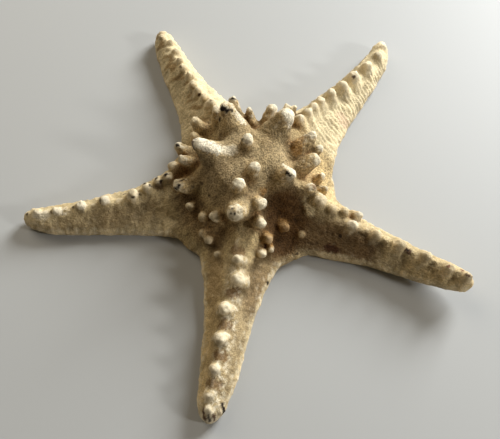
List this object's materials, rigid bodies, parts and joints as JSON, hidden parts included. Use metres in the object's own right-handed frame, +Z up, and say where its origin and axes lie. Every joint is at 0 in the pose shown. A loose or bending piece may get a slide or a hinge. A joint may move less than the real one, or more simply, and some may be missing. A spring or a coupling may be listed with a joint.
{
  "type": "dried starfish",
  "caption": "Dried knobby starfish with tapering arms, a tall horned disc, ridge knobs and a flat grooved underside.",
  "frame": {"origin": "middle of the overall box, at the flat underside", "axes": "+Z up, away from the surface that the starfish rests on; the front arm points toward -Y, and +X is to the right when looking along +Y"},
  "size_m": [0.18, 0.1872, 0.0329],
  "materials": {
    "dried_skin": "matte"
  },
  "bodies": {
    "root": {"starfish": "dried_skin"}
  },
  "joints": []
}
